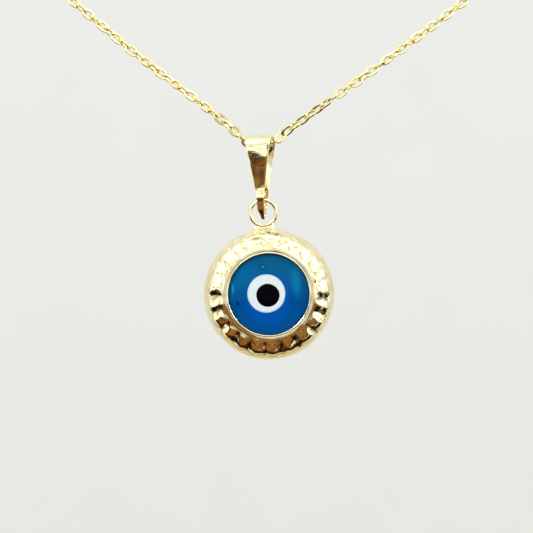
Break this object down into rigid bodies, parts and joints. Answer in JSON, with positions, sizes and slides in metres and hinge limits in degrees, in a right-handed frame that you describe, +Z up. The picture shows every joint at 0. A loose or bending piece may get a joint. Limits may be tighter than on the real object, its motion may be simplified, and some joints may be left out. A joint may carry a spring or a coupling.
{
  "type": "evil eye pendant on a fine chain",
  "caption": "Evil eye pendant: a hollow fluted gold case round a blue glass eye, swinging on a folded strap bail from a fine cable chain necklace.",
  "frame": {"origin": "the middle of the clasp ring, where the necklace hangs at the nape", "axes": "+Z up, +Y to the wearer's back, +X to the right as the pendant is looked at from the front (the front faces -Y)"},
  "size_m": [0.1168, 0.1077, 0.1115],
  "materials": {
    "gold": "polished pale yellow gold sheet",
    "chain_gold": "polished and diamond-cut yellow gold",
    "blue_glass": "fire-polished cobalt blue glass",
    "white_glass": "opaque white glass",
    "black_glass": "opaque black glass"
  },
  "bodies": {
    "chain": {"chain": "chain_gold", "clasp": "chain_gold"},
    "bail": {"bail": "gold"},
    "pendant": {"case": "gold", "eye_glass": "blue_glass", "eye_white": "white_glass", "eye_pupil": "black_glass"}
  },
  "joints": [
    {"name": "bail_swing", "type": "hinge", "parent": "chain", "child": "bail", "pos_m": [0, -0.105, -0.087], "axis": [0.974, -0.2249, 0.0262], "range_deg": [-90, 90]},
    {"name": "pendant_swing", "type": "hinge", "parent": "bail", "child": "pendant", "pos_m": [0.00015, -0.10503, -0.09277], "axis": [0.9974, -0.0174, 0.0698], "range_deg": [-100, 100]}
  ]
}
